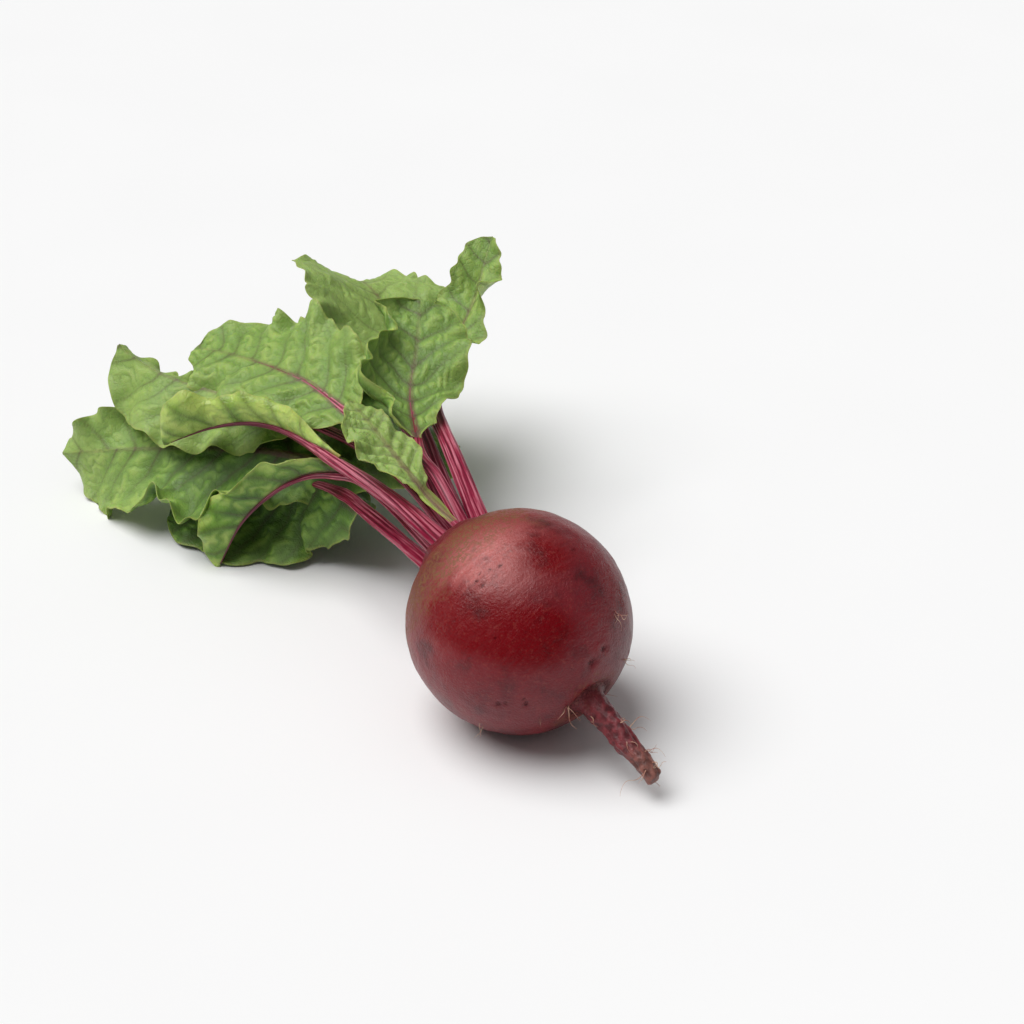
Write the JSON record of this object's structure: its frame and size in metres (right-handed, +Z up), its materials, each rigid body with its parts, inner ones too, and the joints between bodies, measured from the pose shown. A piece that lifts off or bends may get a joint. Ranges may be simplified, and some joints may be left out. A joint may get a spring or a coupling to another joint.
{
  "type": "beetroot",
  "caption": "Round beetroot with its tail and its leafy top, lying on a flat spot, each leaf a ribbed stalk and a wavy blade.",
  "frame": {"origin": "the middle of the small flat spot under the root, on the surface that it rests on", "axes": "+Z up; +X along the root towards its tail, so the leaves lie towards -X; +Y to the side"},
  "size_m": [0.3084, 0.1662, 0.0936],
  "materials": {
    "beet_skin": "satin deep red root skin",
    "beet_stalk": "satin ribbed magenta stalk",
    "beet_leaf": "satin green leaf blade"
  },
  "bodies": {
    "root": {"beet_root": "beet_skin", "leaf_01_stalk": "beet_stalk", "leaf_01_blade": "beet_leaf", "leaf_02_stalk": "beet_stalk", "leaf_02_blade": "beet_leaf", "leaf_03_stalk": "beet_stalk", "leaf_03_blade": "beet_leaf", "leaf_04_stalk": "beet_stalk", "leaf_04_blade": "beet_leaf", "leaf_05_stalk": "beet_stalk", "leaf_05_blade": "beet_leaf", "leaf_06_stalk": "beet_stalk", "leaf_06_blade": "beet_leaf", "leaf_07_stalk": "beet_stalk", "leaf_07_blade": "beet_leaf", "leaf_08_stalk": "beet_stalk", "leaf_08_blade": "beet_leaf", "leaf_09_stalk": "beet_stalk", "leaf_09_blade": "beet_leaf", "leaf_10_stalk": "beet_stalk", "leaf_10_blade": "beet_leaf", "leaf_11_stalk": "beet_stalk", "leaf_11_blade": "beet_leaf"}
  },
  "joints": []
}
